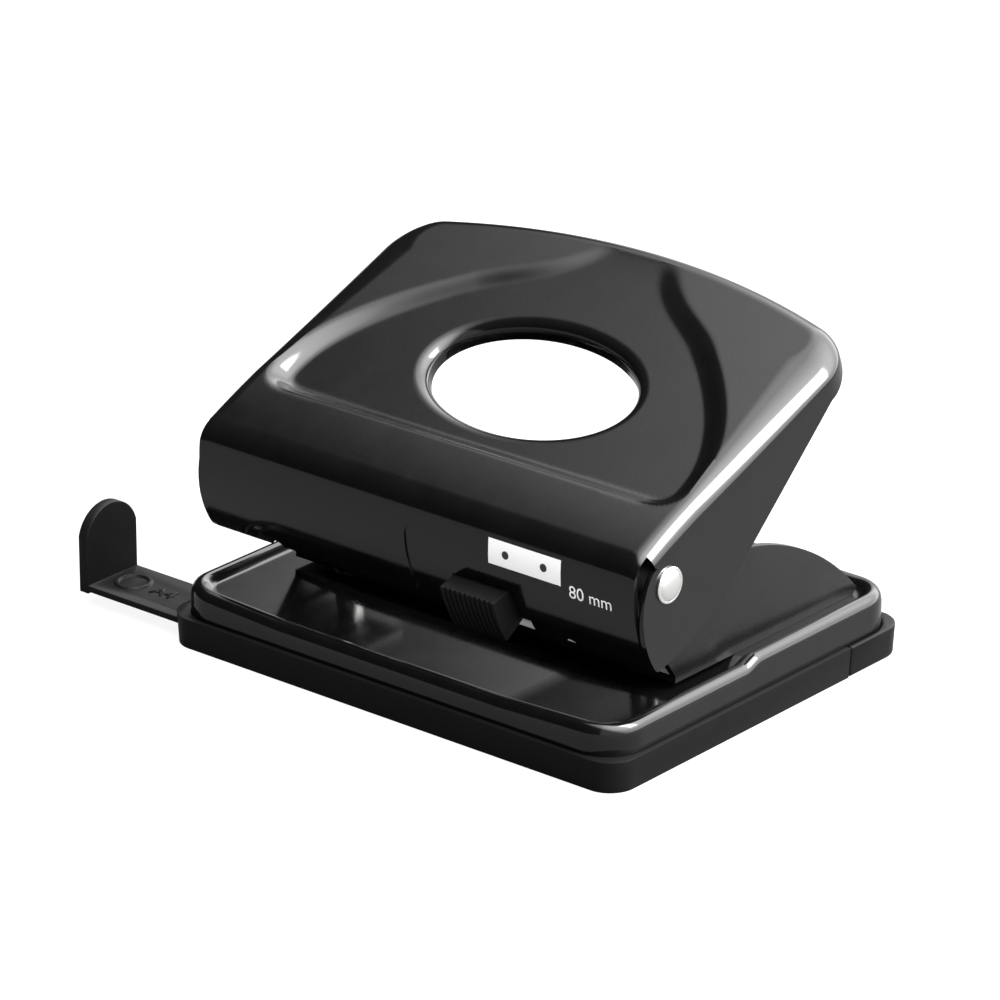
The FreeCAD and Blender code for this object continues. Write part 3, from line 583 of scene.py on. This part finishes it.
def front_band():
    """Front band from the panel's front edge over the brow and down to its lower edge."""
    ends = [(FLAT_HALF + CREASE * math.sin(t), CREASE * (1 - math.cos(t)))
            for t in CREASE_TURNS[1:4]]
    columns = [(-x, drop) for x, drop in ends[::-1]] + [(x, 0.0) for x in FRONT] + ends
    brow_rows = 12
    upper_rows = 16
    lower_rows = 16

    def place(column, row):
        x, drop = columns[column]
        if row <= brow_rows:
            share = row / brow_rows
            turn = math.radians(lerp(BROW_START, LIP_START, share))
            reach = BROW_RADIUS - drop * (1 - ease(share))
            spot = BROW_CENTRE + Vector((math.cos(turn), math.sin(turn))) * reach
        else:
            cut = math.degrees(notch_rise(x) / LIP_RADIUS)
            if row <= brow_rows + upper_rows:
                degrees = lerp(LIP_START, WINDOW_TOP, (row - brow_rows) / upper_rows)
            else:
                share = (row - brow_rows - upper_rows) / lower_rows
                degrees = lerp(WINDOW_TOP, LIP_END - cut, share)
            marked = abs(x + LEVER_SHIFT) < (MARK_HALF + MARK_EDGE) / 2
            pressed = MARK_DEPTH if marked and MARK_TOP < degrees < MARK_LOW else 0.0
            spot = on_lip(degrees, pressed)
        return Vector((x, spot.x, spot.y))

    band = skin(len(columns) - 1, brow_rows + upper_rows + lower_rows, place)
    low, high = (x - LEVER_SHIFT for x in WINDOW_X)
    top = on_lip(WINDOW_TOP).y
    window = [f for f in band.faces if low < f.calc_center_median().x < high
              and f.calc_center_median().z < top]
    bmesh.ops.delete(band, geom=window, context="FACES")
    return band


def lever_pressing():
    """Whole pressed lever."""
    lever = weld(top_panel(), rolled_collar(), creased_flanges(), front_band())
    bmesh.ops.transform(lever, matrix=LEVEL_TO_REST, verts=lever.verts)
    return finish_piece("lever_pressing", lever, "lever", BLACK, "black_lacquer",
                        ["lever_handle"], thick=SHEET, edge=EDGE)


def on_band(bm, x, degrees):
    """Lays a flat shape in the XY plane on the front band and tips it up with the lever."""
    for v in bm.verts:
        spot = on_lip(degrees - math.degrees(v.co.y / LIP_RADIUS), -0.03 - v.co.z)
        v.co = Vector((x + v.co.x - LEVER_SHIFT, spot.x, spot.y))
    bmesh.ops.transform(bm, matrix=LEVEL_TO_REST, verts=bm.verts)
    return bm


def lettering(text, size):
    """Flat mesh of some plain text, from its lower left corner."""
    line = bpy.data.curves.new("line", "FONT")
    line.body = text
    line.size = size
    holder = bpy.data.objects.new("line", line)
    bm = bmesh.new()
    mesh = bpy.data.meshes.new_from_object(holder)
    bm.from_mesh(mesh)
    bpy.data.objects.remove(holder)
    bpy.data.curves.remove(line)
    bpy.data.meshes.remove(mesh)
    bmesh.ops.triangulate(bm, faces=bm.faces)
    return bm


PRINT_X = 31.7             # middle of the white panel
PRINT_ANGLE = 157.0        # on the band's curve
PRINT_SIZE = (19.0, 5.6)
PRINT_DOT = 0.9
PRINT_DOT_X = (-5.0, 5.0)
SPACING_X = 43.2           # start of the printed hole spacing
SPACING_ANGLE = 166.0


def printed_marks():
    """White panel with a two-hole sheet mark, and the hole spacing beside it."""
    panel = bmesh.new()
    bmesh.ops.create_grid(panel, x_segments=24, y_segments=8, size=0.5)
    bmesh.ops.scale(panel, vec=(*PRINT_SIZE, 1), verts=panel.verts)
    on_band(panel, PRINT_X, PRINT_ANGLE)
    finish_piece("printed_panel", panel, "lever", WHITE_INK, "black_lacquer")
    marks = bmesh.new()
    for x in PRINT_DOT_X:
        bmesh.ops.create_circle(marks, cap_ends=True, segments=24, radius=PRINT_DOT,
                                matrix=Matrix.Translation((x, 0, 0.02)))
    on_band(marks, PRINT_X, PRINT_ANGLE)
    finish_piece("printed_hole_marks", marks, "lever", DARK_INK, "black_lacquer")
    spacing = on_band(lettering("80 mm", 4.0), SPACING_X, SPACING_ANGLE)
    finish_piece("printed_spacing", spacing, "lever", WHITE_INK, "black_lacquer")


# ---- base plate -------------------------------------------------------------------------------
low_corner, high_corner = (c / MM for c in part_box("base_plate"))
PLATE_HALF = (high_corner - low_corner) / 2
PLATE_MIDDLE = (high_corner + low_corner) / 2
INNER_CORNER = PLATE_CORNER - RIM
pin_low, pin_high = (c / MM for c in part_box("punch_pin_left"))
PIN_Y = (pin_low.y + pin_high.y) / 2
PIN_HOLE = 3.1             # half width of the table's opening at a pin
BEAD = 1.8                 # bead above the table
BEAD_IN = 2.7              # its crest, out from the table's edge
SKIRT_TOP = -1.2           # where the bead has turned down into the skirt
SKIRT_STEPS = (-3.0, -9.0)  # down the skirt, which stops at its lower edge
TABLE_ROWS = 90


def step_share(y):
    """0 on the front table and 1 on the rear deck."""
    return ease((y - STEP_Y[0]) / (STEP_Y[1] - STEP_Y[0]))


def table_height(x, y):
    """Face of the table and the deck."""
    back = step_share(y)
    wing = max(abs(x) - WING_X, 0.0) / (PLATE_HALF.x - RIM - WING_X) * WING_RISE
    return TABLE + back * STEP + wing * (1 - back)


def corner_stops(half):
    """Places along one half side that follow its rounded corner, the end included."""
    start = half - INNER_CORNER
    return [start + INNER_CORNER * math.sin(math.radians(a)) for a in range(0, 91, 9)]


def table_sheet():
    """Paper table and deck with rounded corners."""
    half_x = PLATE_HALF.x - RIM
    half_y = PLATE_HALF.y - RIM
    outer = corner_stops(half_x)
    stops = [-outer[0], -WING_X, WING_X, outer[0]]
    stops += [x + side * PIN_HOLE for x in PIN_X for side in (-1, 1)]
    inner = spread(stops, 2.5)
    xs = [-x for x in outer[:0:-1]] + inner + outer[1:]

    def place(column, row):
        x = xs[column]
        past = max(abs(x) - (half_x - INNER_CORNER), 0.0)
        reach = half_y - INNER_CORNER + math.sqrt(max(INNER_CORNER ** 2 - past ** 2, 0.0))
        y = lerp(-reach, reach, row / TABLE_ROWS)
        return Vector((x, y, table_height(x, y)))

    return skin(len(xs) - 1, TABLE_ROWS, place)


def outward(spot):
    """Outward direction of the plate's outline at a point on or outside the table's edge."""
    core = Vector((PLATE_HALF.x - PLATE_CORNER, PLATE_HALF.y - PLATE_CORNER))
    past = Vector((max(abs(spot.x) - core.x, 0.0), max(abs(spot.y) - core.y, 0.0)))
    past.normalize()
    return Vector((math.copysign(past.x, spot.x), math.copysign(past.y, spot.y)))


def rim_profile():
    """Bead and skirt from the table's edge: (distance out, height above the table)."""
    inside = curve(((0, 0), (1.1, 0), (1.3, BEAD), (BEAD_IN, BEAD)), 10)
    outside = curve(((BEAD_IN, BEAD), (4.0, BEAD), (RIM, 0.8), (RIM, SKIRT_TOP)), 10)
    return inside[1:] + outside[1:]


def pierce(plate):
    """Opens the table under each pin."""
    for x in PIN_X:
        middle = Vector((x, PIN_Y))
        spots = [(f, f.calc_center_median().xy - middle) for f in plate.faces]
        inside = [f for f, spot in spots if abs(spot.x) < PIN_HOLE and abs(spot.y) < PIN_HOLE]
        rim = {v for f in inside for v in f.verts}
        bmesh.ops.delete(plate, geom=inside, context="FACES")
        for v in (v for v in rim if v.is_valid):
            v.co.xy = middle + (v.co.xy - middle).normalized() * PIN_HOLE


def base_pressing():
    """Base plate: table, deck, the bead all round and the skirt."""
    plate = table_sheet()
    ring = [e for e in plate.edges if e.is_boundary]
    done = 0.0
    for out, rise in rim_profile() + [Vector((RIM, z)) for z in SKIRT_STEPS]:
        grown = bmesh.ops.extrude_edge_only(plate, edges=ring)["geom"]
        ring = [g for g in grown if isinstance(g, bmesh.types.BMEdge)
                and all(v in grown for v in g.verts) and g.is_boundary]
        for v in {v for e in ring for v in e.verts}:
            way = outward(v.co)
            v.co.x += way.x * (out - done)
            v.co.y += way.y * (out - done)
            edge_x = math.copysign(min(abs(v.co.x), PLATE_HALF.x - RIM), v.co.x)
            v.co.z = max(table_height(edge_x, v.co.y) + rise, SKIRT_LOW)
        done = out
    pierce(plate)
    plate = weld(plate)
    bmesh.ops.translate(plate, vec=(PLATE_MIDDLE.x, PLATE_MIDDLE.y, 0), verts=plate.verts)
    return finish_piece("base_pressing", plate, "base", BLACK_BASE, "black_lacquer_base",
                        ["base_plate"], thick=SHEET, edge=EDGE)


# ---- fittings ---------------------------------------------------------------------------------
AXLE = 2.5                 # radius
WIRE = 0.4                 # radius of the spring wire
COILS = 6.5
COIL_STEPS = 28            # per coil
FORMAT_X = -75.0           # start of the raised sheet format on the guide
FORMAT_BACK = 1.8          # its lower edge, forward of the bar's middle
FORMAT_SUNK = 4.45         # its underside, just below the bar's face
FORMAT_HEIGHT = 0.25


def axle():
    """Plated rod with a domed, set-in head on the right."""
    low, high = (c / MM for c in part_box("axle_pin"))
    start = low.x
    seat = LEVER_SHIFT + LEVER_HALF
    top = high.x - seat
    profile = [(0, start), (AXLE, start), (AXLE, seat), (3.9, seat), (3.9, seat + 0.45),
               (3.75, seat + 0.62), (3.5, seat + 0.66), (3.3, seat + 0.6), (3.15, seat + 0.7)]
    dome = curve(((3.15, 0.7), (2.9, 1.15), (1.5, top), (0, top)), 9)
    profile += [(p.x, seat + p.y) for p in dome[1:]]
    bm = turned(profile, Vector((1, 0, 0)), Vector((0, PIVOT.y, PIVOT.z)), 48)
    finish_piece("axle_rod", bm, "lever", BRIGHT, "bright_steel", ["axle_pin"], edge=0.1)


def return_spring(side):
    """Wound return spring round one pin."""
    low, high = (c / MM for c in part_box("pin_spring_" + side))
    reach = (high.x - low.x) / 2 - WIRE
    height = high.z - low.z - 2 * WIRE
    centre = Vector(((low.x + high.x) / 2, (low.y + high.y) / 2, low.z + WIRE))
    steps = round(COILS * COIL_STEPS)
    bm = bmesh.new()
    tip = Matrix.Translation(centre + Vector((reach, 0, 0))) @ Matrix.Rotation(math.pi / 2, 4, "X")
    bmesh.ops.create_circle(bm, cap_ends=True, segments=10, radius=WIRE, matrix=tip)
    bmesh.ops.spin(bm, geom=bm.verts[:] + bm.edges[:] + bm.faces[:], cent=centre, axis=(0, 0, 1),
                   dvec=(0, 0, height / steps), angle=COILS * ALL_TURN, steps=steps,
                   use_merge=False, use_duplicate=False)
    bmesh.ops.recalc_face_normals(bm, faces=bm.faces)
    piece = finish_piece("spring_" + side, bm, "base", SPRING, "spring_steel",
                         ["pin_spring_" + side])
    travel = -joints["punch_" + side + "_slide"]["range_m"][0] / MM
    keep = 1 - travel / (high.z - low.z)
    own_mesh(piece)


def guide_numbers():
    """Raised paper format on the guide's bar."""
    low, high = (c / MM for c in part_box("paper_guide"))
    bm = lettering("A4", 5.2)
    grown = bmesh.ops.extrude_face_region(bm, geom=bm.faces[:])["geom"]
    upper = [g for g in grown if isinstance(g, bmesh.types.BMVert)]
    bmesh.ops.translate(bm, vec=(0, 0, FORMAT_HEIGHT), verts=upper)
    bmesh.ops.recalc_face_normals(bm, faces=bm.faces)
    middle = (low.y + high.y) / 2
    bmesh.ops.translate(bm, vec=(FORMAT_X, middle - FORMAT_BACK, FORMAT_SUNK), verts=bm.verts)
    finish_piece("guide_numbers", bm, "guide", GUIDE_PLASTIC, "guide_plastic")


def softened_fittings():
    """CAD nodes whose shape stays, with rounded edges."""
    rows = [("chip_tray", "tray_moulding", "tray", TRAY_PLASTIC, "black_plastic", 0.45),
            ("tray_hinge_band", "hinge_band_moulding", "base", TRAY_PLASTIC, "black_plastic", 0.45),
            ("punch_frame", "frame_pressing", "base", BLACK_FRAME, "black_lacquer_frame", 0.4),
            ("paper_guide", "guide_moulding", "guide", GUIDE_PLASTIC, "guide_plastic", 0.45),
            ("lock_slider", "slide_moulding", "lock", SLIDE_PLASTIC, "slide_plastic", 0.12),
            ("slider_backplate", "slide_keeper", "lock", SLIDE_PLASTIC, "slide_plastic", 0.25),
            ("die_plate", "die_strip", "base", PLAIN, "plain_steel", 0.2),
            ("frame_rivets", "deck_rivets", "base", BRIGHT, "bright_steel", 0.15),
            ("axle_cap", "axle_end_cap", "lever", BRIGHT, "bright_steel", 0.15),
            ("axle_spacer_left", "spacer_left", "lever", NYLON, "spacer_nylon", 0.2),
            ("axle_spacer_right", "spacer_right", "lever", NYLON, "spacer_nylon", 0.2)]
    for side in ("left", "right"):
        rows += [("pin_guide_" + side, "guide_bracket_" + side, "base", BLACK_FRAME,
                  "black_lacquer_frame", 0.3),
                 ("press_pad_" + side, "pad_" + side, "lever", PLAIN, "plain_steel", 0.2),
                 ("punch_pin_" + side, "pin_" + side, "punch_" + side, GROUND, "tool_steel", 0.12),
                 ("pin_clip_" + side, "clip_" + side, "punch_" + side, SPRING, "spring_steel", 0.1),
                 ("spring_washer_" + side, "washer_" + side, "punch_" + side, SPRING,
                  "spring_steel", 0.1)]
    for node, name, body, finish, slot, edge in rows:
        softened(node, name, body, finish, slot, edge)


# ---- camera, floor and light ------------------------------------------------------------------
def look(azimuth, elevation, roll):
    """Unit vector from the target to the eye and the eye's turn."""
    a, e = math.radians(azimuth), math.radians(elevation)
    back = Vector((math.sin(a) * math.cos(e), -math.cos(a) * math.cos(e), math.sin(e)))
    turn = (-back).to_track_quat("-Z", "Y") @ Quaternion((0, 0, 1), math.radians(roll))
    return back, turn


CAMERA_TARGET = Vector((1.5, -1.5, 29.03)) * MM
CAMERA_ANGLES = (39.59, 22.53, 0.24)   # azimuth, elevation and roll in degrees
CAMERA_DISTANCE = 1.2706   # metres
CAMERA_LENS = 217.6
CAMERA_SHIFT = (-0.0369, 0.0227)


def place_camera():
    """Long lens from the front right, a little above."""
    back, turn = look(*CAMERA_ANGLES)
    camera = bpy.data.objects.new("camera", bpy.data.cameras.new("camera"))
    bpy.context.collection.objects.link(camera)
    camera.location = CAMERA_TARGET + back * CAMERA_DISTANCE
    camera.rotation_mode = "QUATERNION"
    camera.rotation_quaternion = turn
    camera.data.lens = CAMERA_LENS
    camera.data.sensor_width = 36.0
    camera.data.shift_x, camera.data.shift_y = CAMERA_SHIFT
    camera.data.clip_start = 0.05
    camera.data.clip_end = 20.0
    bpy.context.scene.camera = camera


def soft_light(name, spot, way, distance, size, power):
    """Soft box that faces a spot from a direction."""
    lamp = bpy.data.lights.new(name, "AREA")
    lamp.shape = "RECTANGLE"
    lamp.size, lamp.size_y = size
    lamp.energy = power
    holder = bpy.data.objects.new(name, lamp)
    bpy.context.collection.objects.link(holder)
    way = Vector(way).normalized()
    holder.location = spot + way * distance
    holder.rotation_mode = "QUATERNION"
    holder.rotation_quaternion = way.to_track_quat("Z", "Y")


def pale_floor():
    """Plain pale floor, which the reflections see darker than the camera does."""
    bm = bmesh.new()
    bmesh.ops.create_grid(bm, x_segments=1, y_segments=1, size=6.0)
    mesh = bpy.data.meshes.new("floor")
    bm.to_mesh(mesh)
    bm.free()
    pale = Finish("pale_floor")
    seen = pale.node("LightPath", output="Is Camera Ray")
    pale.put(Base_Color=grey(0.05), Roughness=0.9, Emission_Strength=1.0,
             Emission_Color=pale.blend(seen, grey(0.12), grey(0.9)))
    mesh.materials.append(pale.material)
    floor = bpy.data.objects.new("floor", mesh)
    bpy.context.collection.objects.link(floor)


def room():
    """Dark room with soft glows above, beside and behind the punch."""
    world = bpy.data.worlds.new("room")
    nodes = Nodes(world, "Background")
    way = nodes.node("TexCoord", output="Generated")

    def glow(direction, low, high, strength):
        """Light that grows towards a direction."""
        towards = nodes.node("VectorMath", {"operation": "DOT_PRODUCT"},
                             {0: way, 1: direction}, "Value")
        return nodes.node("MapRange", {"interpolation_type": "SMOOTHSTEP"},
                          {"Value": towards, "From Min": low, "From Max": high,
                           "To Min": 0.01, "To Max": strength})

    above = glow((0.45, 0.45, 0.75), 0.34, 0.6, 5.5)
    beside = glow((0.5, 0.2, 0.8), 0.6, 0.97, 9.0)
    behind = glow((1, 0.6, 0), -0.2, -0.12, 1.1)
    nodes.put(Strength=above + beside + behind, Color=grey(1.0))
    bpy.context.scene.world = world
    bpy.context.scene.view_settings.view_transform = "Standard"


def soft_boxes():
    """Strip along the right crease, which also lights the recess's left wall and the rims."""
    soft_light("right_strip", Vector((0.03, 0, 0.05)), (0.6, 0.25, 0.73), 0.8, (0.34, 0.6), 18.0)


place_camera()
lever_pressing()
printed_marks()
base_pressing()
axle()
for side in ("left", "right"):
    return_spring(side)
guide_numbers()
softened_fittings()
pale_floor()
room()
soft_boxes()
